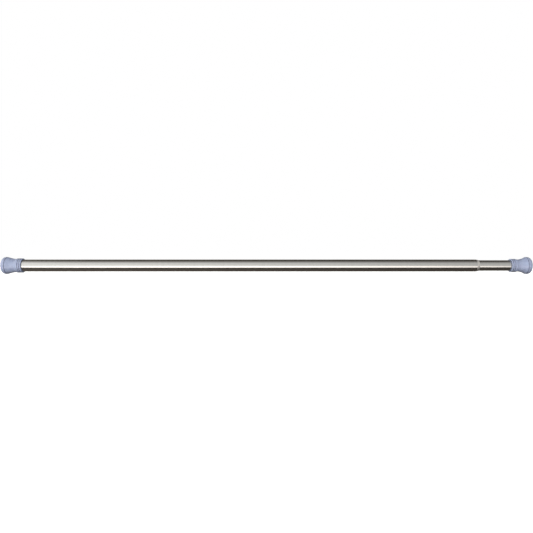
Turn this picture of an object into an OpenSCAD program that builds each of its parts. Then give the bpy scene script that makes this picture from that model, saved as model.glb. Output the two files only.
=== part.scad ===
// Telescoping tension curtain rod: two steel tubes, one inside the other, with a soft rubber foot on each
// end. A twist lock sets the length, and a spring inside the inner tube presses the feet against two walls.
// The rod lies along +X, the origin is the middle of the left foot's wall face, and +Z is up. Millimetres.

/* [Tubes] */
// Outside diameter of the outer tube
outer_tube_d = 25.4; // [24.6:0.1:34]
// Wall of the outer tube
outer_tube_wall = 0.8; // [0.5:0.1:1.1]
// Length of the outer tube
outer_tube_length = 988; // [700:1:1400]
// Radius that rounds the outer tube's mouth
mouth_round = 0.6; // [0.2:0.1:0.7]
// Outside diameter of the inner tube
inner_tube_d = 22.2; // [18:0.1:22.6]
// Wall of the inner tube
inner_tube_wall = 0.8; // [0.5:0.1:1.1]
// Bare inner tube between the mouth bushing and the right foot, as set
bare_inner_tube = 67; // [40:0.5:400]
// Room left before the cam screw meets the outer tube's plug, with the rod closed and its spring pressed
closing_room = 5.5; // [3:0.5:60]

/* [Feet] */
// Length of each foot
foot_length = 42.5; // [38:0.5:60]
// Rubber between the wall and the end of the tube plug
foot_floor = 7; // [4:0.5:12]
// Diameter of the flare behind the wall face
flare_d = 35.4; // [33.4:0.2:48]
// Radius that rounds the edge of the wall face
rim_round = 6; // [2:0.25:6.25]
// Height of the bead that runs round the flare
bead_height = 0.3; // [0.1:0.05:0.6]
// Distance from the wall face to the groove behind the bead
groove_from_face = 8.8; // [8.2:0.1:9.4]
// Width of the groove behind the bead
groove_width = 1.2; // [0.6:0.1:2]
// Depth of the groove behind the bead
groove_depth = 0.8; // [0.3:0.1:1.2]
// Distance from the wall face to the start of the narrow neck
neck_from_face = 27; // [23:0.5:27.5]
// Length of the narrow neck
neck_length = 2.2; // [1:0.1:3]
// Rubber round the tube at the left foot's neck
left_neck_wall = 1.3; // [0.8:0.1:2]
// Rubber round the tube at the right foot's neck
right_neck_wall = 1.7; // [0.8:0.1:3]
// Bend of the left foot's trumpet: 1 is straight and 2 is a parabola
left_bend = 1.45; // [1:0.05:2.5]
// Bend of the right foot's trumpet
right_bend = 2; // [1:0.05:2.5]
// Rubber round the tube at the left foot's collar
left_collar_wall = 2.4; // [2:0.1:3]
// Rubber round the tube at the right foot's collar
right_collar_wall = 2.8; // [2:0.1:4]
// Opening between the foot's mouth and the tube
mouth_flare = 1.5; // [0.5:0.1:1.6]
// Distance between the grooves that part the collar into rings
ring_pitch = 3.7; // [3:0.1:4]
// Number of ring grooves in the wall face
tread_count = 3; // [1:1:3]
// Width of each ring groove in the wall face
tread_width = 1.2; // [0.6:0.1:1.6]
// Depth of each ring groove in the wall face
tread_depth = 0.8; // [0.4:0.1:1.5]

/* [Tube plugs] */
// Thickness of the disc between the tube's end and the foot's floor
plug_disc = 2; // [1:0.5:4]
// Length of the cup that fills the tube's end
plug_cup = 17; // [10:1:24]
// Wall of that cup
plug_wall = 2.4; // [1.5:0.1:4]

/* [Mouth bushing] */
// Length of the bushing inside the outer tube
bushing_length = 30; // [15:1:60]
// Length of the lip that shows beyond the tube's mouth
bushing_lip = 4.5; // [2:0.25:6]
// Running gap between the bushing and the inner tube
bushing_gap = 0.05; // [0.02:0.01:0.09]

/* [Twist lock] */
// Offset of the cam boss from the rod's axis
cam_offset = 0.8; // [0.6:0.05:0.95]
// Twist that takes the cam from centred to locked
lock_twist = 75; // [50:5:85]
// Width of the cam ring
cam_width = 13.6; // [8:0.2:20]
// Diameter of the round boss that carries the cam ring
cam_boss_d = 13; // [12:0.5:14]
// Gap left between the locked cam ring and the tube
locked_gap = 0.026; // [0.01:0.002:0.06]
// Running gap between the cam ring and its boss
cam_gap = 0.05; // [0.02:0.01:0.09]
// End play of the cam ring along the rod
cam_end_play = 0.2; // [0.1:0.05:0.5]
// Thickness of the disc behind the cam ring
carrier_disc = 4.9; // [2:0.1:8]
// Gap between that disc and the outer tube
carrier_gap = 0.6; // [0.3:0.1:1.2]

/* [Guide sleeve] */
// Length of the guide sleeve
sleeve_length = 17.8; // [10:0.2:30]
// Gap between the guide sleeve and the outer tube
sleeve_gap = 0.1; // [0.05:0.01:0.3]
// Length of each bearing band of the guide sleeve
sleeve_band = 4; // [2:0.5:4.5]
// Depth of the waist between the bearing bands
sleeve_waist = 1.2; // [0.5:0.1:2]
// End play of the guide sleeve along the rod
sleeve_end_play = 0.1; // [0.05:0.05:0.4]
// Outside diameter of the spring clip that holds the sleeve
clip_d = 16; // [14:0.5:19]
// Thickness of that clip
clip_thickness = 1.2; // [0.8:0.1:2]
// Depth of the groove that the clip sits in
clip_groove = 0.8; // [0.4:0.1:1.2]

/* [Spindle] */
// Side of the spindle's square bar
spindle_square = 6; // [5:0.1:6.6]
// Diameter of the journal that the guide sleeve turns on
journal_d = 10; // [9.6:0.1:12]
// Running gap between the guide sleeve and the journal
journal_gap = 0.05; // [0.02:0.01:0.09]
// Journal left beyond the clip
journal_end = 1.3; // [0.8:0.1:3]
// Distance across the flats of the hexagon inside the cam boss
spindle_hex = 7; // [6.2:0.1:7.6]
// Thread at the spindle's far end, outside diameter
stud_d = 5; // [4:0.5:5]
// Thread beyond the piston
stud_length = 8; // [7:0.5:14]
// Gap between the square bar and its hole in the end plug
square_gap = 0.1; // [0.05:0.01:0.2]

/* [End plug] */
// Length of the collar outside the inner tube
end_collar = 5; // [3:0.5:10]
// Gap between that collar and the outer tube
end_collar_gap = 0.15; // [0.05:0.01:0.3]
// Length of the end plug inside the inner tube
end_spigot = 30; // [20:1:50]

/* [Spring] */
// Push that the spring gives before the plug meets the journal
spring_travel = 25; // [10:1:60]
// Play left at the end of that push
travel_play = 0.5; // [0.2:0.1:2]
// Length of the spring as set, with the piston on its stop
spring_length = 100; // [80:1:200]
// Diameter of the spring's wire
spring_wire = 2; // [1.4:0.1:2.6]
// Turns of the spring, with one closed turn at each end
spring_turns = 18; // [10:1:24]
// Gap between the spring and the inner tube
spring_gap = 1.3; // [0.5:0.1:2]
// Thickness of the piston that the spring bears on
piston_length = 5; // [4:0.5:8]
// Gap between the piston and the inner tube
piston_gap = 0.2; // [0.1:0.05:0.4]
// Height of the rim that centres the spring on the piston
piston_rim = 2; // [1:0.5:3]
// Gap between the piston and the end plug as set
stop_gap = 0.1; // [0.05:0.05:0.3]
// Length of the fixed spring seat
seat_length = 18; // [12:1:30]
// Length of the nose that centres the spring on its seat
seat_nose = 6; // [3:0.5:12]
// Gap between that nose and the inside of the spring
nose_gap = 0.6; // [0.5:0.1:1.5]

/* [Fasteners] */
// Diameter of the cam screw
screw_d = 4; // [3:0.5:4]
// Length of the cam screw under its head
screw_length = 12; // [8:1:14]
// Diameter of the cam screw's head
screw_head_d = 7.6; // [6.5:0.1:9]
// Height of the cam screw's head
screw_head = 2.6; // [2.2:0.1:3.5]
// Outside diameter of the cam washer
cam_washer_d = 18; // [17:0.5:19]
// Thickness of the cam washer
cam_washer = 1.2; // [0.8:0.1:2]
// Distance across the flats of the piston nut
nut_flats = 8; // [7.5:0.1:9.5]
// Height of the piston nut
nut_height = 5; // [4:0.5:6]
// Gap between the piston washer and the inside of the spring
piston_washer_gap = 2; // [1:0.1:3]
// Thickness of the piston washer
piston_washer = 1; // [0.6:0.1:1.6]
// Shank diameter of the rivets that hold the end plug in the inner tube
rivet_d = 3; // [2:0.5:4]
// Shank length of those rivets
rivet_length = 4; // [3:0.5:5]
// Head diameter of those rivets
rivet_head_d = 4.4; // [3.5:0.1:5]
// Head height of those rivets
rivet_head = 0.35; // [0.2:0.05:0.5]
// Diameter of the roll pin that holds the spring seat in the inner tube
roll_pin_d = 3; // [2:0.5:4]
// Wall of that pin
roll_pin_wall = 0.6; // [0.4:0.1:0.8]
// Depth of the pin's ends below the tube's surface, so that they pass the bushing
roll_pin_depth = 0.2; // [0.2:0.05:0.5]

/* [Hidden] */
$fn = 96;

ARC_STEPS = 8;
TRUMPET_STEPS = 14;
COLLAR_RISE = 1.8;
RING_GROOVE = 0.5;
RING_GROOVES = 2;
MOUTH_RING = 3.3;
MOUTH_ROLL = 0.7;
LEAD_IN = 5;
TREAD_PITCH = 3.2;
SPRING_STEPS = 12;
SPRING_SIDES = 6;
CLOSED_PITCH = 1.05;
CLIP_SLOT = 0.7;
SLOT_WIDTH = 1;
SLOT_DEPTH = 1.4;
SEAT_WALL = 2.5;
PIN_SLOT = 0.5;
CHAMFER = 0.6;

// Radii that several pieces share
outer_r = outer_tube_d / 2;
outer_bore = outer_r - outer_tube_wall;
inner_r = inner_tube_d / 2;
inner_bore = inner_r - inner_tube_wall;
journal_r = journal_d / 2;
boss_r = cam_boss_d / 2;
cam_bore = boss_r + cam_gap;
// A twist of lock_twist moves the ring sideways by twice the offset times the sine of half the twist
cam_ring_r = outer_bore - 2 * cam_offset * sin(lock_twist / 2) - locked_gap;
spring_outer_r = inner_bore - spring_gap;
spring_mean_r = spring_outer_r - spring_wire / 2;
spring_inner_r = spring_outer_r - spring_wire;

// Places along the rod, from the left foot's wall face
tube_start = foot_floor + plug_disc;
mouth_x = tube_start + outer_tube_length;
lip_x = mouth_x + bushing_lip;
rod_length = lip_x + bare_inner_tube + foot_length;
screw_head_x = tube_start + plug_cup + closing_room + bare_inner_tube - spring_travel;
boss_x = screw_head_x + screw_head + cam_washer;
disc_x = boss_x + cam_width + cam_end_play;
carrier_x = disc_x + carrier_disc;
sleeve_x = carrier_x + sleeve_end_play;
clip_x = sleeve_x + sleeve_length + sleeve_end_play;
journal_x = clip_x + clip_thickness + journal_end;
collar_x = journal_x + spring_travel + travel_play;
inner_start = collar_x + end_collar;
inner_end = rod_length - tube_start;
end_plug_x = inner_start + end_spigot;
piston_x = end_plug_x + stop_gap;
spring_x = piston_x + piston_length;
seat_x = spring_x + spring_length;
rivet_x = inner_start + end_spigot / 2;
seat_pin_x = seat_x + SEAT_WALL + roll_pin_d;

// Turns a flat outline, drawn as radius and distance along the rod, about the rod's axis
module turned() {
    rotate([0, 90, 0]) rotate_extrude() children();
}

// A round ring, or a disc if its inner radius is 0, between two places along the rod
module ring(inner, outer, from, to) {
    turned() translate([inner, from]) square([outer - inner, to - from]);
}

// Puts a piece on both sides of the rod, pointing away from its axis
module both_sides(along) {
    for (side = [-90, 90]) translate([along, 0, 0]) rotate([side, 0, 0]) children();
}

// Puts a piece on the cam boss's centre, which the locking twist has carried round from the top
module on_boss() {
    rotate([-lock_twist, 0, 0]) translate([0, 0, cam_offset]) children();
}

function arc(centre, radius, from, to) =
    [for (i = [0:ARC_STEPS]) let (a = from + (to - from) * i / ARC_STEPS)
        centre + radius * [cos(a), sin(a)]];

// The trumpet between the groove and the neck
function trumpet(wide, narrow, from, to, bend) =
    [for (i = [0:TRUMPET_STEPS]) let (s = i / TRUMPET_STEPS)
        [narrow + (wide - narrow) * pow(1 - s, bend), from + (to - from) * s]];

// The grooves that part the collar into rings, from the mouth towards the neck
function collar_rings(collar) =
    [for (k = [0:RING_GROOVES - 1]) let (middle = foot_length - MOUTH_RING - ring_pitch * k)
        each [
            [collar, middle + groove_width / 2],
            [collar - RING_GROOVE, middle + groove_width / 4],
            [collar - RING_GROOVE, middle - groove_width / 4],
            [collar, middle - groove_width / 2]
        ]];

// The wall face from its rounded edge to the middle, with its ring grooves
function tread(edge) =
    [for (k = [0:tread_count - 1]) let (r = edge - TREAD_PITCH * k - tread_width)
        each [[r, 0], [r, tread_depth], [r - tread_width, tread_depth], [r - tread_width, 0]]];

// Half the outline of a foot, with its wall face at 0 and its mouth at foot_length
function foot_outline(bore, neck, collar, bend) =
    let (flare = flare_d / 2,
         flat = flare - rim_round,
         groove_end = groove_from_face + groove_width,
         collar_start = neck_from_face + neck_length + COLLAR_RISE)
    concat(
        [[0, foot_floor], [bore, foot_floor], [bore, foot_length - LEAD_IN]],
        [[bore + mouth_flare, foot_length], [collar - MOUTH_ROLL / 2, foot_length]],
        [[collar, foot_length - MOUTH_ROLL]],
        collar_rings(collar),
        [[collar, collar_start], [neck, neck_from_face + neck_length]],
        [for (i = [TRUMPET_STEPS:-1:0])
            trumpet(flare, neck, groove_end + CHAMFER, neck_from_face, bend)[i]],
        [[flare - bead_height, groove_end]],
        [[flare - groove_depth, groove_end - groove_width / 4]],
        [[flare - groove_depth, groove_from_face + groove_width / 4], [flare, groove_from_face]],
        [[flare + bead_height, groove_from_face - CHAMFER], [flare + bead_height, rim_round + 2 * CHAMFER]],
        [for (i = [ARC_STEPS:-1:0]) arc([flat, rim_round], rim_round, -90, 0)[i]],
        tread(flat),
        [[0, 0]]
    );

module foot(bore, neck_wall, collar_wall, bend) {
    turned() polygon(foot_outline(bore, bore + neck_wall, bore + collar_wall, bend));
}

module left_foot() {
    color("#9aa3bb") foot(outer_r, left_neck_wall, left_collar_wall, left_bend);
}

module right_foot() {
    color("#9aa3bb")
        translate([rod_length, 0, 0]) mirror([1, 0, 0])
            foot(inner_r, right_neck_wall, right_collar_wall, right_bend);
}

// A disc against the foot's floor and a cup inside the tube's end
module tube_plug(outside, bore) {
    ring(0, outside, foot_floor, tube_start);
    difference() {
        ring(0, bore, tube_start, tube_start + plug_cup);
        ring(0, bore - plug_wall, tube_start + plug_wall, tube_start + plug_cup + 1);
    }
}

module left_tube_plug() {
    color("#2b2c30") tube_plug(outer_r, outer_bore);
}

module right_tube_plug() {
    color("#2b2c30")
        translate([rod_length, 0, 0]) mirror([1, 0, 0]) tube_plug(inner_r, inner_bore);
}

// The mouth's outer edge is rolled round
module outer_tube() {
    color("#b9b4aa")
        turned() polygon(concat(
            [[outer_bore, mouth_x], [outer_bore, tube_start], [outer_r, tube_start]],
            arc([outer_r - mouth_round, mouth_x - mouth_round], mouth_round, 0, 90)
        ));
}

// A sleeve inside the mouth, with a tapered lip that covers the tube's edge
module mouth_bushing() {
    bore = inner_r + bushing_gap;
    lip_r = outer_r - mouth_round / 2;
    color("#dcdcd6")
        turned() polygon([
            [bore, mouth_x - bushing_length + CHAMFER / 2],
            [bore + CHAMFER / 2, mouth_x - bushing_length],
            [outer_bore, mouth_x - bushing_length],
            [outer_bore, mouth_x],
            [lip_r, mouth_x],
            [lip_r, mouth_x + CHAMFER],
            [bore + CHAMFER, lip_x - CHAMFER / 2],
            [bore + CHAMFER / 2, lip_x],
            [bore, lip_x - CHAMFER / 2]
        ]);
}

module inner_tube() {
    color("#b3aea3")
        difference() {
            ring(inner_bore, inner_r, inner_start, inner_end);
            rivet_holes();
            pin_hole();
        }
}

// Shanks as cutters: they run from the plug's inside to beyond the tube
module rivet_holes() {
    both_sides(rivet_x)
        translate([0, 0, inner_r - rivet_length]) cylinder(d = rivet_d, h = rivet_length + 1);
}

module end_plug_rivets() {
    color("#c9c9c6")
        both_sides(rivet_x) {
            translate([0, 0, inner_r - rivet_length]) cylinder(d = rivet_d, h = rivet_length);
            translate([0, 0, inner_r]) cylinder(d1 = rivet_head_d, d2 = rivet_d, h = rivet_head);
        }
}

module pin_hole() {
    translate([seat_pin_x, 0, 0]) rotate([90, 0, 0])
        cylinder(d = roll_pin_d, h = inner_tube_d + 2, center = true);
}

// Rolled from sheet, so it has a slot along its side
module seat_pin() {
    long = inner_tube_d - 2 * roll_pin_depth;
    color("#8d8f92")
        translate([seat_pin_x, 0, 0]) rotate([90, 0, 0]) difference() {
            cylinder(d = roll_pin_d, h = long, center = true);
            cylinder(d = roll_pin_d - 2 * roll_pin_wall, h = long + 2, center = true);
            translate([0, -PIN_SLOT / 2, -long]) cube([roll_pin_d, PIN_SLOT, 2 * long]);
        }
}

// A square hole passes the spindle and turns with it
module inner_end_plug() {
    hole = spindle_square + 2 * square_gap;
    collar_r = outer_bore - end_collar_gap;
    color("#e4e2da")
        difference() {
            union() {
                ring(0, collar_r, collar_x, inner_start);
                ring(0, inner_bore, inner_start, end_plug_x);
            }
            translate([collar_x - 1, -hole / 2, -hole / 2]) cube([end_collar + end_spigot + 2, hole, hole]);
            rivet_holes();
        }
}

// A spool with two bearing bands, which slides in the outer tube and doesn't turn in it
module guide_sleeve() {
    sleeve_r = outer_bore - sleeve_gap;
    color("#e4e2da")
        difference() {
            ring(journal_r + journal_gap, sleeve_r, sleeve_x, sleeve_x + sleeve_length);
            ring(sleeve_r - sleeve_waist, sleeve_r + 1, sleeve_x + sleeve_band,
                 sleeve_x + sleeve_length - sleeve_band);
        }
}

module hex_bar(from, to) {
    translate([from, 0, 0]) rotate([0, 90, 0])
        cylinder(r = spindle_hex / 2 / cos(30), h = to - from, $fn = 6);
}

// From the left: a hexagon inside the carrier, a round journal, a square bar and a threaded stud
module lock_spindle() {
    stud_end = spring_x + piston_washer + stud_length;
    color("#8d8f92")
        difference() {
            union() {
                hex_bar(boss_x, carrier_x);
                difference() {
                    ring(0, journal_r, carrier_x, journal_x);
                    ring(journal_r - clip_groove, journal_r + 1, clip_x, clip_x + clip_thickness);
                }
                translate([journal_x, -spindle_square / 2, -spindle_square / 2])
                    cube([piston_x - journal_x, spindle_square, spindle_square]);
                ring(0, stud_d / 2, piston_x, stud_end);
            }
            ring(0, screw_d / 2, boss_x - 1, boss_x - cam_washer + screw_length);
        }
}

// A disc and an offset boss, moulded round the spindle's hexagon
module cam_carrier() {
    color("#3a3c42")
        difference() {
            union() {
                ring(0, outer_bore - carrier_gap, disc_x, carrier_x);
                on_boss() ring(0, boss_r, boss_x, disc_x);
            }
            hex_bar(boss_x - 1, carrier_x + 1);
        }
}

// Its bore is as far off centre as the boss is, so that a twist centres it or wedges it in the tube
module cam_ring() {
    from = boss_x + cam_end_play / 2;
    color("#c8503c")
        difference() {
            on_boss() rotate([lock_twist, 0, 0]) translate([0, 0, -cam_offset])
                ring(0, cam_ring_r, from, from + cam_width);
            on_boss() ring(0, cam_bore, from - 1, from + cam_width + 1);
        }
}

module cam_washer() {
    color("#c4c6c8") ring(screw_d / 2, cam_washer_d / 2, boss_x - cam_washer, boss_x);
}

module cam_screw() {
    color("#c4c6c8")
        difference() {
            union() {
                ring(0, screw_d / 2, boss_x - cam_washer, boss_x - cam_washer + screw_length);
                turned() polygon([
                    [0, screw_head_x],
                    [screw_head_d / 2 - CHAMFER, screw_head_x],
                    [screw_head_d / 2, screw_head_x + CHAMFER],
                    [screw_head_d / 2, screw_head_x + screw_head],
                    [0, screw_head_x + screw_head]
                ]);
            }
            for (turn = [0, 90]) rotate([turn, 0, 0])
                translate([screw_head_x - 1, -screw_head_d / 3, -SLOT_WIDTH / 2])
                    cube([SLOT_DEPTH + 1, screw_head_d * 2 / 3, SLOT_WIDTH]);
        }
}

// An open ring that snaps into the journal's groove
module sleeve_clip() {
    groove_r = journal_r - clip_groove;
    color("#6f7276")
        difference() {
            ring(groove_r, clip_d / 2, clip_x, clip_x + clip_thickness);
            translate([clip_x - 1, -groove_r * CLIP_SLOT, -clip_d])
                cube([clip_thickness + 2, groove_r * CLIP_SLOT * 2, clip_d]);
        }
}

module spring_piston() {
    piston_r = inner_bore - piston_gap;
    color("#3a3c42")
        turned() polygon([
            [stud_d / 2, piston_x],
            [piston_r - CHAMFER, piston_x],
            [piston_r, piston_x + CHAMFER],
            [piston_r, spring_x + piston_rim],
            [spring_outer_r + piston_gap, spring_x + piston_rim],
            [spring_outer_r + piston_gap, spring_x],
            [stud_d / 2, spring_x]
        ]);
}

module piston_washer() {
    washer_r = spring_inner_r - piston_washer_gap;
    color("#c4c6c8") ring(stud_d / 2, washer_r, spring_x, spring_x + piston_washer);
}

module piston_nut() {
    color("#c4c6c8")
        difference() {
            translate([spring_x + piston_washer, 0, 0]) rotate([0, 90, 0])
                cylinder(r = nut_flats / 2 / cos(30), h = nut_height, $fn = 6);
            ring(0, stud_d / 2, spring_x, spring_x + piston_washer + nut_height + 1);
        }
}

// Height of the wire's centre above the piston after some turns: closed end turns, then an even pitch
function coil_height(turns) =
    let (closed = spring_wire * CLOSED_PITCH,
         open = (spring_length - spring_wire - 2 * closed) / (spring_turns - 2))
    spring_wire / 2 + min(turns, 1) * closed + max(0, min(turns, spring_turns - 1) - 1) * open
        + max(0, turns - spring_turns + 1) * closed;

module thrust_spring() {
    last = spring_turns * SPRING_STEPS;
    points = [for (i = [0:last]) for (k = [0:SPRING_SIDES - 1])
        let (turn = 360 * i / SPRING_STEPS,
             a = 360 * k / SPRING_SIDES,
             r = spring_mean_r + spring_wire / 2 * cos(a),
             x = spring_x + coil_height(i / SPRING_STEPS) + spring_wire / 2 * sin(a))
            [x, r * cos(turn), r * sin(turn)]];
    sides = [for (i = [0:last - 1]) for (k = [0:SPRING_SIDES - 1])
        let (a = i * SPRING_SIDES + k, b = i * SPRING_SIDES + (k + 1) % SPRING_SIDES)
            each [[a, b, b + SPRING_SIDES], [a, b + SPRING_SIDES, a + SPRING_SIDES]]];
    ends = [
        [for (k = [SPRING_SIDES - 1:-1:0]) k],
        [for (k = [0:SPRING_SIDES - 1]) last * SPRING_SIDES + k]
    ];
    color("#7d8084") polyhedron(points, concat(sides, ends));
}

// A cup pinned in the inner tube, with a nose inside the spring's last turns
module spring_seat() {
    nose_r = spring_inner_r - nose_gap;
    color("#e4e2da")
        difference() {
            union() {
                ring(0, inner_bore, seat_x, seat_x + seat_length);
                ring(0, nose_r, seat_x - seat_nose, seat_x);
            }
            ring(0, inner_bore - SEAT_WALL, seat_pin_x + roll_pin_d, seat_x + seat_length + 1);
            pin_hole();
        }
}

outer_tube();
left_foot();
left_tube_plug();
mouth_bushing();
guide_sleeve();
lock_spindle();
cam_carrier();
cam_washer();
cam_screw();
sleeve_clip();
spring_piston();
piston_washer();
piston_nut();
thrust_spring();
cam_ring();
inner_tube();
right_foot();
right_tube_plug();
inner_end_plug();
spring_seat();
end_plug_rivets();
seat_pin();
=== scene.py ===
"""A telescoping tension curtain rod: its visible pieces, finishes and stage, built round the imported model.

The file is laid out as an add-on and run as a script. Sizes in the property groups are in metres.
"""

import math

import bmesh
import bpy
from bpy.props import FloatProperty, FloatVectorProperty, IntProperty, PointerProperty
from mathutils import Matrix, Vector


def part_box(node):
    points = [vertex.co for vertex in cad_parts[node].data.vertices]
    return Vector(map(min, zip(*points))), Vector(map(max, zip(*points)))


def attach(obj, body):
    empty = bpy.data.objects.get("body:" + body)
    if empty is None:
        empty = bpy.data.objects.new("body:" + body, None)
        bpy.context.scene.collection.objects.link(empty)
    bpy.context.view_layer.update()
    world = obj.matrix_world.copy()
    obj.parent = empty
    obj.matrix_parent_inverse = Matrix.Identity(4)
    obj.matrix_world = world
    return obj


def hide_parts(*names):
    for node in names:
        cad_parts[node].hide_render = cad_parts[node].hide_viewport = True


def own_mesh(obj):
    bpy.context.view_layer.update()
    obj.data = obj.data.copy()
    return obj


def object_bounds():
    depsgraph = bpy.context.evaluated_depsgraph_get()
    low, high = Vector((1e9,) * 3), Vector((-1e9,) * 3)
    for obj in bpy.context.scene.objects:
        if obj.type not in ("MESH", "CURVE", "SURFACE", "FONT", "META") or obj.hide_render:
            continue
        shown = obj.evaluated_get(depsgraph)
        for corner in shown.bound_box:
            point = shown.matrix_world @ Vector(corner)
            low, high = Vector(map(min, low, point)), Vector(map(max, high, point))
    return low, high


bl_info = {
    "name": "Tension curtain rod",
    "version": (1, 0, 0),
    "blender": (4, 5, 0),
    "location": "3D View > Sidebar > Rod",
    "description": "Builds a spring tension rod with its twist lock, feet and finishes",
    "category": "Object",
}

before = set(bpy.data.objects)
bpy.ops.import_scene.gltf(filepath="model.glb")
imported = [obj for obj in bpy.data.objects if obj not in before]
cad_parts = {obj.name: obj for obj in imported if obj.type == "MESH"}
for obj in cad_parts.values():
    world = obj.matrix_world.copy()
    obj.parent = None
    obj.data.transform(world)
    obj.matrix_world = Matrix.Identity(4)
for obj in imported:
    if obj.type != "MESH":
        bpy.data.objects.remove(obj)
CAD_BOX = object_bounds()

MM = 0.001
AXIS = Vector((1, 0, 0))
ROUND_STEPS = 192
CORNER_STEPS = 5
SHARP_ANGLE = math.radians(32)
MERGE_DISTANCE = 1e-7
FLOOR_SIZE = 12.0
FLOOR_GLOW = 0.7
SOFTBOX_POWER = 2.2
LAMP_SIZE = 0.5
WIRE_SIDES = 12
COIL_STEPS = 32
FLARE_STEPS = 20


def linear(hex_colour):
    """Turns an sRGB hex colour into linear red, green and blue."""
    values = [int(hex_colour[i : i + 2], 16) / 255 for i in (1, 3, 5)]
    return [v / 12.92 if v <= 0.04045 else ((v + 0.055) / 1.055) ** 2.4 for v in values]


def mm_prop(name, default, description):
    """A length property whose default is given in millimetres."""
    return FloatProperty(
        name=name, description=description, default=default * MM, min=0, unit="LENGTH", precision=5
    )


def colour_prop(name, hex_colour, description):
    """A colour property whose default is an sRGB hex value."""
    return FloatVectorProperty(
        name=name, description=description, default=linear(hex_colour), subtype="COLOR", min=0, max=1
    )


class RodSizes(bpy.types.PropertyGroup):
    """Sizes that the frame's boxes don't give."""

    tube_wall: mm_prop("Tube wall", 0.8, "Thickness of both steel tubes")
    mouth_round: mm_prop("Mouth rounding", 0.6, "Radius of the outer tube's mouth edge")
    bushing_gap: mm_prop("Bushing gap", 0.05, "Running gap between the bushing and the inner tube")
    bushing_land: mm_prop("Bushing land", 0.6, "Straight part of the bushing's lip before its taper")
    bushing_edge: mm_prop("Bushing edge", 0.5, "Thickness of the bushing at the end of its lip")
    foot_floor: mm_prop("Foot floor", 7, "Rubber between the wall face and the tube plug")
    rim_round: mm_prop("Rim rounding", 6, "Radius of the wall face's edge")
    bead_height: mm_prop("Bead height", 0.3, "Height of the bead behind the rounded edge")
    groove_at: mm_prop("Groove place", 8.8, "Distance from the wall face to the groove behind the bead")
    groove_width: mm_prop("Groove width", 1.2, "Width of the foot's grooves")
    groove_depth: mm_prop("Groove depth", 0.8, "Depth of the groove behind the bead")
    neck_at: mm_prop("Neck place", 27, "Distance from the wall face to the narrow neck")
    neck_length: mm_prop("Neck length", 2.2, "Length of the narrow neck")
    left_neck: mm_prop("Left neck wall", 1.3, "Rubber round the tube at the left foot's neck")
    right_neck: mm_prop("Right neck wall", 1.7, "Rubber round the tube at the right foot's neck")
    left_bend: FloatProperty(
        name="Left bend", description="Bend of the left trumpet: 1 is straight", default=1.45, min=1, max=3
    )
    right_bend: FloatProperty(
        name="Right bend", description="Bend of the right trumpet: 1 is straight", default=2.0, min=1, max=3
    )
    left_collar: mm_prop("Left collar wall", 2.4, "Rubber round the tube at the left foot's collar")
    right_collar: mm_prop("Right collar wall", 2.8, "Rubber round the tube at the right foot's collar")
    ring_place: mm_prop("Ring place", 3.3, "Distance from the foot's mouth to the middle of its first groove")
    ring_pitch: mm_prop("Ring pitch", 3.7, "Distance between the grooves that part the collar into rings")
    ring_depth: mm_prop("Ring groove depth", 0.7, "Depth of the grooves between the collar's rings")
    mouth_gap: mm_prop("Foot mouth gap", 0.6, "Opening between the foot's mouth and the tube")
    tread_width: mm_prop("Tread width", 1.2, "Width of each ring groove in the wall face")
    tread_pitch: mm_prop("Tread pitch", 3.2, "Distance between those ring grooves")
    tread_depth: mm_prop("Tread depth", 0.8, "Depth of those ring grooves")
    tread_count: IntProperty(name="Treads", description="Ring grooves in the wall face", default=3, min=0)
    flute_depth: mm_prop("Flute depth", 0.12, "Depth of the faint flutes along the flare")
    flute_count: IntProperty(name="Flutes", description="Flutes round the flare", default=28, min=0)
    spring_wire: mm_prop("Spring wire", 2, "Diameter of the spring's wire")
    spring_turns: IntProperty(name="Spring turns", description="Turns with the two closed ends", default=18)


class RodColours(bpy.types.PropertyGroup):
    """Finishes of the rod."""

    steel: colour_prop("Steel", "#c8c7c5", "Brushed nickel-plated steel of the tubes")
    foot: colour_prop("Foot", "#96a4bc", "Soft rubber of the feet")
    foot_cloud: colour_prop("Foot clouding", "#9498b5", "Lavender cast that clouds the rubber")
    bushing: colour_prop("Bushing", "#cdcac6", "Silver-pigmented nylon of the mouth bushing")
    nylon: colour_prop("Nylon", "#e3dfd4", "Natural nylon of the sleeve and inner plugs")
    black_plastic: colour_prop("Black plastic", "#26272b", "Moulded plastic of the carrier, piston and plugs")
    cam_ring: colour_prop("Cam ring", "#b8432f", "Moulded acetal of the cam ring")
    bright_steel: colour_prop("Bright steel", "#b3b4b5", "Turned steel of the spindle")
    zinc: colour_prop("Zinc plate", "#c6c9cc", "Plated fasteners")
    spring: colour_prop("Spring wire", "#8b8c8e", "Oiled spring steel")


class RodStage(bpy.types.PropertyGroup):
    """Camera, floor and studio light."""

    distance: FloatProperty(name="Camera distance", description="From the rod", default=1.1, unit="LENGTH")
    lens: FloatProperty(name="Lens", description="Focal length in millimetres", default=35.2)
    drop: mm_prop("Camera drop", 2.1, "Height of the rod above the middle of the view")
    light: FloatProperty(name="Studio light", description="Strength of the softboxes", default=1.0, min=0)
    front_fill: FloatProperty(
        name="Front fill", description="Power of the lamp by the camera", default=8.0, min=0
    )
    left_fill: FloatProperty(
        name="Left fill", description="Power of the lamp by the left foot", default=2.0, min=0
    )
    floor: colour_prop("Floor", "#f4f4f2", "Pale studio floor")


# Shapes ------------------------------------------------------------------------------------------


def span(node):
    """The first and last place of a node along the rod, and its greatest radius."""
    low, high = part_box(node)
    return low[0], high[0], high[2]


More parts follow.
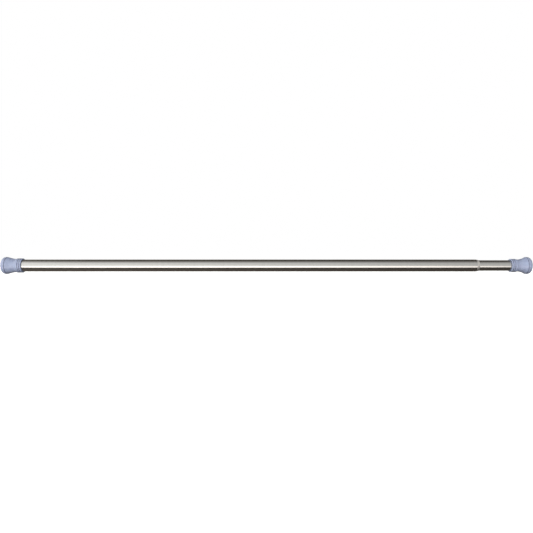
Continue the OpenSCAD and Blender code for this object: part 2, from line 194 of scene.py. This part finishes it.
def show(shape, name, node, body, finish):
    """Makes a bmesh a piece that rides on a body, stands for a CAD node and has the finish of a slot."""
    for face in shape.faces:
        face.smooth = True
    for edge in shape.edges:
        edge.smooth = edge.calc_face_angle(0) < SHARP_ANGLE
    mesh = bpy.data.meshes.new(name)
    shape.to_mesh(mesh)
    shape.free()
    mesh.materials.append(finish)
    piece = bpy.data.objects.new(name, mesh)
    bpy.context.scene.collection.objects.link(piece)
    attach(piece, body)
    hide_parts(node)
    return piece


def turned(outline, closed=True, steps=ROUND_STEPS):
    """Spins an outline of (place, radius, rounding) points once about the rod's axis.

    A closed outline gives a ring. An open one starts and ends on the axis and gives a solid.
    """
    shape = bmesh.new()
    corners = [shape.verts.new((point[0], 0, point[1])) for point in outline]
    ends = corners[1:] + corners[:1] if closed else corners[1:]
    for start, end in zip(corners, ends):
        shape.edges.new((start, end))
    roundings = {}
    for corner, point in zip(corners, outline):
        if len(point) > 2:
            roundings.setdefault(point[2], []).append(corner)
    for radius, rounded in roundings.items():
        bmesh.ops.bevel(
            shape,
            geom=rounded,
            offset=radius,
            offset_type="OFFSET",
            affect="VERTICES",
            segments=CORNER_STEPS,
            profile=0.5,
            material=-1,
            clamp_overlap=True,
        )
    bmesh.ops.spin(
        shape,
        geom=shape.verts[:] + shape.edges[:],
        axis=AXIS,
        cent=(0, 0, 0),
        angle=math.tau,
        steps=steps,
        use_merge=True,
    )
    bmesh.ops.remove_doubles(shape, verts=shape.verts, dist=MERGE_DISTANCE)
    bmesh.ops.recalc_face_normals(shape, faces=shape.faces)
    return shape


# Finishes ----------------------------------------------------------------------------------------


def add_node(tree, kind, inputs=None, **settings):
    """Adds a node, sets its properties, then sets or links its inputs."""
    node = tree.nodes.new(kind)
    for name, value in settings.items():
        setattr(node, name, value)
    for key, value in (inputs or {}).items():
        if isinstance(value, bpy.types.NodeSocket):
            tree.links.new(value, node.inputs[key])
        else:
            node.inputs[key].default_value = value
    return node


def new_finish(name):
    """An empty material with its output node, and its Object coordinates."""
    material = bpy.data.materials.new(name)
    material.use_nodes = True
    tree = material.node_tree
    tree.nodes.clear()
    place = add_node(tree, "ShaderNodeTexCoord").outputs["Object"]
    return material, tree, place


def finish_surface(tree, shader):
    """Joins a shader to the material's output."""
    add_node(tree, "ShaderNodeOutputMaterial", {"Surface": shader.outputs[0]})


def shade(colour, factor):
    """A colour made lighter or darker, with its alpha."""
    return [min(1, c * factor) for c in colour] + [1]


def brushed_steel(name, colour):
    """Steel tube with satin nickel plate, belt-polished while it turns.

    Fine lines run round the tube, so reflections smear along it and stay crisp across it.
    """
    material, tree, place = new_finish(name)
    # Belt grit leaves lines about 0.1 mm apart; they are drawn 0.35 mm apart, and as 6 mm bands that show
    lines = add_node(tree, "ShaderNodeMapping", {"Vector": place, "Scale": (1 / (0.35 * MM), 12, 12)})
    bands = add_node(tree, "ShaderNodeMapping", {"Vector": place, "Scale": (1 / (6 * MM), 6, 6)})
    fine = add_node(tree, "ShaderNodeTexNoise", {"Vector": lines.outputs[0], "Scale": 1.0, "Detail": 3.0})
    broad = add_node(tree, "ShaderNodeTexNoise", {"Vector": bands.outputs[0], "Scale": 1.0, "Detail": 2.0})
    cloud = add_node(tree, "ShaderNodeTexNoise", {"Vector": place, "Scale": 14.0, "Detail": 2.0})
    tone = add_node(
        tree,
        "ShaderNodeMix",
        {"Factor": broad.outputs["Fac"], "A": shade(colour, 0.93), "B": shade(colour, 1.05)},
        data_type="RGBA",
    )
    gloss = add_node(
        tree,
        "ShaderNodeMapRange",
        {"Value": fine.outputs["Fac"], "From Min": 0.3, "From Max": 0.7, "To Min": 0.13, "To Max": 0.2},
    )
    smudge = add_node(
        tree,
        "ShaderNodeMath",
        {0: cloud.outputs["Fac"], 1: 0.05, 2: gloss.outputs[0]},
        operation="MULTIPLY_ADD",
    )
    relief = add_node(
        tree, "ShaderNodeBump", {"Height": fine.outputs["Fac"], "Strength": 0.12, "Distance": 0.02 * MM}
    )
    shader = add_node(
        tree,
        "ShaderNodeBsdfPrincipled",
        {
            "Base Color": tone.outputs["Result"],
            "Metallic": 1.0,
            "Roughness": smudge.outputs[0],
            "Anisotropic": 0.75,
            "Anisotropic Rotation": 0.25,
            "Normal": relief.outputs[0],
            "Tangent": add_node(tree, "ShaderNodeTangent", direction_type="RADIAL", axis="X").outputs[0],
        },
    )
    finish_surface(tree, shader)
    return material


def soft_foot_rubber(name, colour, clouding):
    """Thermoplastic rubber moulded in a polished tool: soft, slightly cloudy and waxy.

    Light goes a few millimetres into it, which softens its shading and lifts its thin edges.
    """
    material, tree, place = new_finish(name)
    # Clouding about 8 mm across, and a moulded grain of 0.4 mm
    cloud = add_node(
        tree, "ShaderNodeTexNoise", {"Vector": place, "Scale": 1 / (8 * MM), "Detail": 3.0, "Roughness": 0.55}
    )
    grain = add_node(tree, "ShaderNodeTexNoise", {"Vector": place, "Scale": 1 / (0.4 * MM), "Detail": 2.0})
    tone = add_node(
        tree,
        "ShaderNodeMix",
        {"Factor": cloud.outputs["Fac"], "A": shade(clouding, 0.92), "B": shade(colour, 1.08)},
        data_type="RGBA",
    )
    # Painted shade: where the groove mark is set, the colour is mixed towards a dark lavender tone that
    # stands in for the shade in the recesses
    groove_shade = add_node(tree, "ShaderNodeAttribute", attribute_name="groove_shade")
    groove_shaded = add_node(
        tree,
        "ShaderNodeMix",
        {"Factor": groove_shade.outputs["Fac"], "A": tone.outputs["Result"], "B": shade(clouding, 0.45)},
        data_type="RGBA",
    )
    gloss = add_node(
        tree,
        "ShaderNodeMapRange",
        {"Value": cloud.outputs["Fac"], "From Min": 0.3, "From Max": 0.7, "To Min": 0.22, "To Max": 0.32},
    )
    relief = add_node(
        tree, "ShaderNodeBump", {"Height": grain.outputs["Fac"], "Strength": 0.15, "Distance": 0.03 * MM}
    )
    shader = add_node(
        tree,
        "ShaderNodeBsdfPrincipled",
        {
            "Base Color": groove_shaded.outputs["Result"],
            "Roughness": gloss.outputs[0],
            "IOR": 1.5,
            "Subsurface Weight": 0.15,
            "Subsurface Radius": (1.0, 1.1, 1.35),
            "Subsurface Scale": 1.5 * MM,
            "Normal": relief.outputs[0],
        },
    )
    finish_surface(tree, shader)
    return material


def moulded_plastic(name, colour, roughness, glow, grain_mm):
    """Injection-moulded plastic with the spark-eroded grain of its tool. glow is how far light enters."""
    material, tree, place = new_finish(name)
    grain = add_node(
        tree, "ShaderNodeTexNoise", {"Vector": place, "Scale": 1 / (grain_mm * MM), "Detail": 3.0}
    )
    flow = add_node(tree, "ShaderNodeTexNoise", {"Vector": place, "Scale": 1 / (12 * MM), "Detail": 1.0})
    tone = add_node(
        tree,
        "ShaderNodeMix",
        {"Factor": flow.outputs["Fac"], "A": shade(colour, 0.92), "B": shade(colour, 1.06)},
        data_type="RGBA",
    )
    gloss = add_node(
        tree,
        "ShaderNodeMapRange",
        {"Value": grain.outputs["Fac"], "To Min": roughness - 0.08, "To Max": roughness + 0.08},
    )
    relief = add_node(
        tree, "ShaderNodeBump", {"Height": grain.outputs["Fac"], "Strength": 0.25, "Distance": 0.04 * MM}
    )
    shader = add_node(
        tree,
        "ShaderNodeBsdfPrincipled",
        {
            "Base Color": tone.outputs["Result"],
            "Roughness": gloss.outputs[0],
            "IOR": 1.5,
            "Subsurface Weight": glow,
            "Subsurface Radius": (1.0, 0.9, 0.8),
            "Subsurface Scale": 1.5 * MM,
            "Normal": relief.outputs[0],
        },
    )
    finish_surface(tree, shader)
    return material


def silver_flake_nylon(name, colour):
    """Nylon filled with aluminium flake, moulded to match the plated tubes: a soft, slightly rough sheen."""
    material, tree, place = new_finish(name)
    # Flakes are about 0.05 mm across; they are drawn 0.3 mm across
    flake = add_node(tree, "ShaderNodeTexVoronoi", {"Vector": place, "Scale": 1 / (0.3 * MM)})
    tone = add_node(
        tree,
        "ShaderNodeMix",
        {"Factor": flake.outputs["Color"], "A": shade(colour, 0.9), "B": shade(colour, 1.08)},
        data_type="RGBA",
    )
    gloss = add_node(
        tree, "ShaderNodeMapRange", {"Value": flake.outputs["Distance"], "To Min": 0.3, "To Max": 0.42}
    )
    relief = add_node(
        tree, "ShaderNodeBump", {"Height": flake.outputs["Distance"], "Strength": 0.1, "Distance": 0.02 * MM}
    )
    shader = add_node(
        tree,
        "ShaderNodeBsdfPrincipled",
        {
            "Base Color": tone.outputs["Result"],
            "Metallic": 0.75,
            "Roughness": gloss.outputs[0],
            "Normal": relief.outputs[0],
        },
    )
    finish_surface(tree, shader)
    return material


def machined_metal(name, colour, roughness, mark_mm):
    """Metal with a thin bright plate over the marks of turning or drawing, which run round the rod's axis."""
    material, tree, place = new_finish(name)
    marks = add_node(tree, "ShaderNodeMapping", {"Vector": place, "Scale": (1 / (mark_mm * MM), 60, 60)})
    lines = add_node(tree, "ShaderNodeTexNoise", {"Vector": marks.outputs[0], "Scale": 1.0, "Detail": 3.0})
    stain = add_node(tree, "ShaderNodeTexNoise", {"Vector": place, "Scale": 1 / (5 * MM), "Detail": 3.0})
    tone = add_node(
        tree,
        "ShaderNodeMix",
        {"Factor": stain.outputs["Fac"], "A": shade(colour, 0.84), "B": shade(colour, 1.08)},
        data_type="RGBA",
    )
    gloss = add_node(
        tree,
        "ShaderNodeMapRange",
        {"Value": lines.outputs["Fac"], "To Min": roughness - 0.1, "To Max": roughness + 0.1},
    )
    relief = add_node(
        tree, "ShaderNodeBump", {"Height": lines.outputs["Fac"], "Strength": 0.3, "Distance": 0.03 * MM}
    )
    shader = add_node(
        tree,
        "ShaderNodeBsdfPrincipled",
        {
            "Base Color": tone.outputs["Result"],
            "Metallic": 1.0,
            "Roughness": gloss.outputs[0],
            "Normal": relief.outputs[0],
        },
    )
    finish_surface(tree, shader)
    return material


def finish_nodes(material, *nodes):
    """Gives CAD nodes, whose shapes stay, a finish."""
    for name in nodes:
        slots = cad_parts[name].data.materials
        slots.clear()
        slots.append(material)


# Operators ---------------------------------------------------------------------------------------


class ROD_OT_tubes(bpy.types.Operator):
    """Both steel tubes"""

    bl_idname = "rod.tubes"
    bl_label = "Tubes"

    def execute(self, context):
        size = context.scene.rod_sizes
        finish = brushed_steel("brushed_nickel_steel", context.scene.rod_colours.steel)
        cut, hidden_end = 0.12 * MM, 0.2 * MM
        for node, body, mouth in (
            ("outer_tube", "outer_pole", size.mouth_round),
            ("inner_tube", "inner_pole", hidden_end),
        ):
            start, end, radius = span(node)
            bore = radius - size.tube_wall
            outline = [(start, bore, cut), (start, radius, cut), (end, radius, mouth), (end, bore, cut)]
            show(turned(outline), node + "_steel", node, body, finish)
        return {"FINISHED"}


class ROD_OT_mouth_bushing(bpy.types.Operator):
    """Nylon bushing in the outer tube's mouth, whose tapered lip covers the cut edge"""

    bl_idname = "rod.mouth_bushing"
    bl_label = "Mouth bushing"

    def execute(self, context):
        size = context.scene.rod_sizes
        start, end, lip = span("mouth_bushing")
        mouth = span("outer_tube")[1]
        bore = span("inner_tube")[2] + size.bushing_gap
        body = span("outer_tube")[2] - size.tube_wall
        edge = bore + size.bushing_edge
        outline = [
            (start, bore, 0.3 * MM),
            (start, body, 0.2 * MM),
            (mouth, body),
            (mouth, lip),
            (mouth + size.bushing_land, lip, 0.3 * MM),
            (end, edge, 0.2 * MM),
            (end, bore, 0.15 * MM),
        ]
        finish = silver_flake_nylon("silver_flake_nylon", context.scene.rod_colours.bushing)
        shape = turned(outline)
        show(shape, "mouth_bushing_nylon", "mouth_bushing", "outer_pole", finish)
        return {"FINISHED"}


def foot_outline(size, length, flare, bore, neck, collar, bend):
    """Half the section of a foot, from the middle of its wall face round to the bottom of its socket."""
    points = [(0, 0)]
    flat = flare - size.rim_round
    for k in reversed(range(size.tread_count)):
        outside = flat - size.tread_pitch * k - size.tread_width
        inside = outside - size.tread_width
        floor = size.tread_depth
        for place, radius in ((0, inside), (floor, inside), (floor, outside), (0, outside)):
            points.append((place, radius, 0.25 * MM))
    bead, groove, width = flare + size.bead_height, size.groove_at, size.groove_width
    bottom = flare - size.groove_depth
    points += [
        (0, flare, size.rim_round),
        (size.rim_round + 0.3 * MM, flare, 0.2 * MM),
        (size.rim_round + 1.0 * MM, bead, 0.4 * MM),
        (groove - 0.7 * MM, bead, 0.5 * MM),
        (groove, flare - 0.1 * MM, 0.2 * MM),
        (groove + 0.3 * MM, bottom, 0.25 * MM),
        (groove + width - 0.3 * MM, bottom, 0.25 * MM),
        (groove + width, flare - 0.15 * MM, 0.2 * MM),
    ]
    start = groove + width + 0.6 * MM
    for i in range(FLARE_STEPS):
        share = i / FLARE_STEPS
        radius = neck + (flare - neck) * (1 - share) ** bend
        points.append((start + (size.neck_at - start) * share, radius))
    neck_end = size.neck_at + size.neck_length
    points += [(size.neck_at, neck), (neck_end, neck, 0.8 * MM), (neck_end + 1.8 * MM, collar, 0.7 * MM)]
    for k in (1, 0):
        middle = length - size.ring_place - size.ring_pitch * k
        low = collar - size.ring_depth
        points += [
            (middle - width * 0.6, collar, 0.5 * MM),
            (middle - width / 6, low, 0.15 * MM),
            (middle + width / 6, low, 0.15 * MM),
            (middle + width * 0.6, collar, 0.5 * MM),
        ]
    points += [
        (length, collar, 0.8 * MM),
        (length, bore + size.mouth_gap, 0.1 * MM),
        (length - 5 * MM, bore, 0.5 * MM),
        (size.foot_floor, bore),
        (size.foot_floor, 0),
    ]
    return points


def paint_groove_shade(shape, size, flare, collar, length):
    """Marks the groove floors, where the rubber gets painted shade: a darker tone that stands in for the
    shade in those recesses.
    """
    groove_shade = shape.verts.layers.float.new("groove_shade")
    rings = [length - size.ring_place - size.ring_pitch * k for k in (0, 1)]
    half = size.groove_width * 0.6
    below = 0.2 * MM
    groove_end = size.groove_at + size.groove_width
    for vert in shape.verts:
        place, radius = vert.co.x, math.hypot(vert.co.y, vert.co.z)
        behind_bead = size.groove_at < place < groove_end and radius < flare - below
        in_ring = radius < collar - below and any(abs(place - ring) < half for ring in rings)
        in_tread = 0.1 * MM < place <= size.tread_depth and radius < flare - size.rim_round
        vert[groove_shade] = 1.0 if behind_bead or in_ring or in_tread else 0.0


def flute(shape, size):
    """Presses faint flutes into the flare, which fade out at the groove and at the neck."""
    start = size.groove_at + size.groove_width
    # The sockets lie inside this radius and stay round
    socket_limit = 12.8 * MM
    for vert in shape.verts:
        share = (vert.co.x - start) / (size.neck_at - start)
        radius = math.hypot(vert.co.y, vert.co.z)
        if 0 < share < 1 and radius > socket_limit:
            turn = math.atan2(vert.co.z, vert.co.y)
            wave = 0.5 + 0.5 * math.cos(size.flute_count * turn)
            depth = size.flute_depth * math.sin(math.pi * share) * wave
            vert.co.yz = vert.co.yz * (1 - depth / radius)


class ROD_OT_feet(bpy.types.Operator):
    """The two flared rubber feet"""

    bl_idname = "rod.feet"
    bl_label = "Feet"

    def execute(self, context):
        size = context.scene.rod_sizes
        colours = context.scene.rod_colours
        finish = soft_foot_rubber("soft_foot_rubber", colours.foot, colours.foot_cloud)
        feet = (
            ("left_foot", "outer_tube", "outer_pole", size.left_neck, size.left_collar, size.left_bend),
            (
                "right_foot",
                "inner_tube",
                "inner_pole",
                size.right_neck,
                size.right_collar,
                size.right_bend,
            ),
        )
        for node, tube, body, neck, collar, bend in feet:
            start, end, widest = span(node)
            length = end - start
            bore = span(tube)[2]
            flare = widest - size.bead_height
            outline = foot_outline(size, length, flare, bore, bore + neck, bore + collar, bend)
            shape = turned(outline, closed=False)
            paint_groove_shade(shape, size, flare, bore + collar, length)
            flute(shape, size)
            if node == "right_foot":
                bmesh.ops.scale(shape, vec=(-1, 1, 1), verts=shape.verts)
                bmesh.ops.translate(shape, vec=(end, 0, 0), verts=shape.verts)
                bmesh.ops.recalc_face_normals(shape, faces=shape.faces)
            show(shape, node + "_rubber", node, body, finish)
        return {"FINISHED"}


class ROD_OT_thrust_spring(bpy.types.Operator):
    """The compression spring inside the inner tube, with a closed turn at each end"""

    bl_idname = "rod.thrust_spring"
    bl_label = "Thrust spring"

    def execute(self, context):
        size = context.scene.rod_sizes
        low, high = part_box("thrust_spring")
        wire = size.spring_wire / 2
        mean = high[1] - wire
        start, length = low[0], high[0] - low[0]
        # A closed turn moves on by hardly more than the wire's own thickness
        closed = 2.1 * wire
        opened = (length - 2 * wire - 2 * closed) / (size.spring_turns - 2)
        shape = bmesh.new()
        ring = bmesh.ops.create_circle(
            shape,
            cap_ends=True,
            radius=wire,
            segments=WIRE_SIDES,
            matrix=Matrix.Translation((start + wire, mean, 0)),
        )
        last = {"geom_last": ring["verts"] + list({e for v in ring["verts"] for e in v.link_edges})}
        for turns, pitch in ((1, closed), (size.spring_turns - 2, opened), (1, closed)):
            last = bmesh.ops.spin(
                shape,
                geom=[g for g in last["geom_last"] if not isinstance(g, bmesh.types.BMFace)],
                axis=AXIS,
                cent=(0, 0, 0),
                dvec=(pitch / COIL_STEPS, 0, 0),
                angle=math.tau * turns,
                steps=COIL_STEPS * turns,
            )
        rim = [g for g in last["geom_last"] if isinstance(g, bmesh.types.BMEdge)]
        bmesh.ops.edgeloop_fill(shape, edges=rim)
        bmesh.ops.remove_doubles(shape, verts=shape.verts, dist=MERGE_DISTANCE)
        bmesh.ops.recalc_face_normals(shape, faces=shape.faces)
        finish = machined_metal("oiled_spring_wire", context.scene.rod_colours.spring, 0.34, 0.3)
        piece = show(shape, "thrust_spring_wire", "thrust_spring", "spindle", finish)
        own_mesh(piece)
        return {"FINISHED"}


class ROD_OT_inner_works(bpy.types.Operator):
    """Finishes for the twist lock, the plugs and the fasteners inside the tubes"""

    bl_idname = "rod.inner_works"
    bl_label = "Inner works"

    def execute(self, context):
        colours = context.scene.rod_colours
        nylon = moulded_plastic("natural_nylon", colours.nylon, 0.42, 0.25, 0.5)
        finish_nodes(nylon, "guide_sleeve", "inner_end_plug", "spring_seat")
        black = moulded_plastic("black_moulded_plastic", colours.black_plastic, 0.45, 0.0, 0.5)
        finish_nodes(black, "left_tube_plug", "right_tube_plug", "cam_carrier", "spring_piston")
        finish_nodes(moulded_plastic("red_acetal", colours.cam_ring, 0.35, 0.1, 0.6), "cam_ring")
        finish_nodes(machined_metal("turned_bright_steel", colours.bright_steel, 0.3, 0.25), "lock_spindle")
        zinc = machined_metal("zinc_plated_steel", colours.zinc, 0.32, 0.4)
        finish_nodes(zinc, "cam_washer", "cam_screw", "piston_washer", "piston_nut", "end_plug_rivets")
        spring = machined_metal("blued_spring_steel", colours.spring, 0.36, 0.3)
        finish_nodes(spring, "sleeve_clip", "seat_pin")
        return {"FINISHED"}


def around_the_rod(tree, turn, stops):
    """Colours by the angle round the rod's own direction: 0 is level in front and 90 is overhead."""
    ramp = add_node(tree, "ShaderNodeValToRGB", {0: turn})
    elements = ramp.color_ramp.elements
    elements.remove(elements[-1])
    elements[0].position = (stops[0][0] + 180) / 360
    elements[0].color = linear(stops[0][1]) + [1]
    for degrees, colour in stops[1:]:
        elements.new((degrees + 180) / 360).color = linear(colour) + [1]
    return ramp.outputs[0]


def studio_light(strength):
    """A softbox overhead, a strip light low in front and a pale wall behind, in a dark room.

    The softbox fades towards its back edge. Each shines along the tubes as one band.
    """
    room, softbox, wall = "#3c3834", "#acacaa", "#b4b4b2"
    strip_light, off = "#fff9f4", "#000000"
    overhead = (
        (-180, wall),
        (-150, room),
        (-12, room),
        (-6, softbox),
        (35, softbox),
        (95, room),
        (150, room),
        (180, wall),
    )
    strip = ((-180, off), (-43, off), (-39, strip_light), (-10, strip_light), (-6, off))
    world = bpy.data.worlds.new("studio")
    bpy.context.scene.world = world
    world.use_nodes = True
    tree = world.node_tree
    tree.nodes.clear()
    direction = add_node(tree, "ShaderNodeTexCoord").outputs["Object"]
    parts = add_node(tree, "ShaderNodeSeparateXYZ", {0: direction})
    front = add_node(tree, "ShaderNodeMath", {0: parts.outputs["Y"], 1: -1.0}, operation="MULTIPLY")
    angle = add_node(
        tree, "ShaderNodeMath", {0: parts.outputs["Z"], 1: front.outputs[0]}, operation="ARCTAN2"
    )
    turn = add_node(
        tree, "ShaderNodeMath", {0: angle.outputs[0], 1: 1 / math.tau, 2: 0.5}, operation="MULTIPLY_ADD"
    )
    # The strip light is as long as the rod, so it fades towards both ends
    along = add_node(tree, "ShaderNodeMath", {0: parts.outputs["X"]}, operation="ABSOLUTE")
    length = add_node(
        tree,
        "ShaderNodeMapRange",
        {"Value": along.outputs[0], "From Min": 0.5, "From Max": 0.75, "To Min": 1.0, "To Max": 0.4},
    )
    both = add_node(
        tree,
        "ShaderNodeMix",
        {
            "Factor": length.outputs[0],
            "A": around_the_rod(tree, turn.outputs[0], overhead),
            "B": around_the_rod(tree, turn.outputs[0], strip),
        },
        data_type="RGBA",
        blend_type="ADD",
    )
    # Towards the rod's ends the room is an even grey that brightens upwards
    height = add_node(
        tree, "ShaderNodeMapRange", {"Value": parts.outputs["Z"], "From Min": -0.7, "From Max": 0.7}
    )
    room = add_node(
        tree,
        "ShaderNodeMix",
        {"Factor": height.outputs[0], "A": linear("#3a3837") + [1], "B": linear("#dddddb") + [1]},
        data_type="RGBA",
    )
    endwise = add_node(
        tree, "ShaderNodeMapRange", {"Value": along.outputs[0], "From Min": 0.55, "From Max": 0.72}
    )
    around = add_node(
        tree,
        "ShaderNodeMix",
        {"Factor": endwise.outputs[0], "A": both.outputs["Result"], "B": room.outputs["Result"]},
        data_type="RGBA",
    )
    # The left end is nearer the window side of the studio
    side = add_node(
        tree,
        "ShaderNodeMapRange",
        {"Value": parts.outputs["X"], "From Min": -1.0, "From Max": 0.7, "To Min": 1.58, "To Max": 0.65},
    )
    power = add_node(
        tree, "ShaderNodeMath", {0: side.outputs[0], 1: SOFTBOX_POWER * strength}, operation="MULTIPLY"
    )
    boxes = add_node(
        tree, "ShaderNodeBackground", {"Color": around.outputs["Result"], "Strength": power.outputs[0]}
    )
    # The backdrop itself is plain white
    backdrop = add_node(tree, "ShaderNodeBackground", {"Color": (1, 1, 1, 1), "Strength": 1.0})
    seen = add_node(tree, "ShaderNodeLightPath").outputs["Is Camera Ray"]
    mix = add_node(tree, "ShaderNodeMixShader", {0: seen, 1: boxes.outputs[0], 2: backdrop.outputs[0]})
    add_node(tree, "ShaderNodeOutputWorld", {"Surface": mix.outputs[0]})


def soft_fill(name, power, place, target):
    """A square lamp that lights matt surfaces only, as the tubes' bands come from the softboxes."""
    lamp = bpy.data.lights.new(name, "AREA")
    lamp.energy = power
    lamp.size = LAMP_SIZE
    fill = bpy.data.objects.new(name, lamp)
    fill.location = place
    fill.rotation_euler = (target - place).to_track_quat("-Z", "Y").to_euler()
    fill.visible_glossy = False
    bpy.context.scene.collection.objects.link(fill)


def floor_paint(colour):
    """Matt white studio vinyl, lit enough to meet the white backdrop without a line."""
    material, tree, place = new_finish("studio_floor")
    mottle = add_node(tree, "ShaderNodeTexNoise", {"Vector": place, "Scale": 3.0, "Detail": 2.0})
    tone = add_node(
        tree,
        "ShaderNodeMix",
        {"Factor": mottle.outputs["Fac"], "A": shade(colour, 0.98), "B": shade(colour, 1.0)},
        data_type="RGBA",
    )
    shader = add_node(
        tree,
        "ShaderNodeBsdfPrincipled",
        {
            "Base Color": tone.outputs["Result"],
            "Roughness": 0.9,
            "Emission Color": (1, 1, 1, 1),
            "Emission Strength": FLOOR_GLOW,
        },
    )
    finish_surface(tree, shader)
    return material


class ROD_OT_stage(bpy.types.Operator):
    """Camera, studio light and pale floor"""

    bl_idname = "rod.stage"
    bl_label = "Stage"

    def execute(self, context):
        stage = context.scene.rod_stage
        low, high = CAD_BOX
        middle = (low + high) / 2
        camera = bpy.data.objects.new("camera", bpy.data.cameras.new("camera"))
        context.scene.collection.objects.link(camera)
        camera.data.lens = stage.lens
        camera.data.clip_start = 0.01
        camera.data.clip_end = 100
        camera.location = middle + Vector((0, -stage.distance, -stage.drop))
        camera.rotation_euler = (math.pi / 2, 0, 0)
        context.scene.camera = camera
        context.scene.view_settings.view_transform = "Standard"

        shape = bmesh.new()
        bmesh.ops.create_grid(shape, x_segments=1, y_segments=1, size=FLOOR_SIZE)
        bmesh.ops.translate(shape, vec=(middle.x, middle.y, low.z), verts=shape.verts)
        mesh = bpy.data.meshes.new("floor")
        shape.to_mesh(mesh)
        shape.free()
        mesh.materials.append(floor_paint(stage.floor))
        floor = bpy.data.objects.new("floor", mesh)
        context.scene.collection.objects.link(floor)
        # The floor neither shows in the rod's reflections nor throws light on it
        floor.visible_glossy = False
        floor.visible_diffuse = False
        studio_light(stage.light)

        # Fills light the rubber from the front, so the feet darken towards their outlines
        by_camera = middle + Vector((0, -stage.distance, 0.1))
        soft_fill("front_fill", stage.front_fill, by_camera, middle)
        left_end = Vector((low.x, 0, 0))
        soft_fill("left_fill", stage.left_fill, left_end + Vector((-0.35, -0.75, 0.1)), left_end)
        return {"FINISHED"}


class ROD_PT_panel(bpy.types.Panel):
    """Lists the rod's sizes, colours and operators"""

    bl_idname = "ROD_PT_panel"
    bl_label = "Tension rod"
    bl_space_type = "VIEW_3D"
    bl_region_type = "UI"
    bl_category = "Rod"

    def draw(self, context):
        for operator in OPERATORS:
            self.layout.operator(operator.bl_idname)
        for group in (context.scene.rod_sizes, context.scene.rod_colours, context.scene.rod_stage):
            box = self.layout.box()
            for name in group.__annotations__:
                box.prop(group, name)


OPERATORS = (
    ROD_OT_stage,
    ROD_OT_tubes,
    ROD_OT_mouth_bushing,
    ROD_OT_feet,
    ROD_OT_thrust_spring,
    ROD_OT_inner_works,
)
CLASSES = (RodSizes, RodColours, RodStage) + OPERATORS + (ROD_PT_panel,)


def register():
    for cls in CLASSES:
        bpy.utils.register_class(cls)
    bpy.types.Scene.rod_sizes = PointerProperty(type=RodSizes)
    bpy.types.Scene.rod_colours = PointerProperty(type=RodColours)
    bpy.types.Scene.rod_stage = PointerProperty(type=RodStage)


def unregister():
    del bpy.types.Scene.rod_sizes, bpy.types.Scene.rod_colours, bpy.types.Scene.rod_stage
    for cls in reversed(CLASSES):
        bpy.utils.unregister_class(cls)


def main():
    register()
    for operator in OPERATORS:
        group, name = operator.bl_idname.split(".")
        getattr(getattr(bpy.ops, group), name)()


if __name__ == "__main__":
    main()
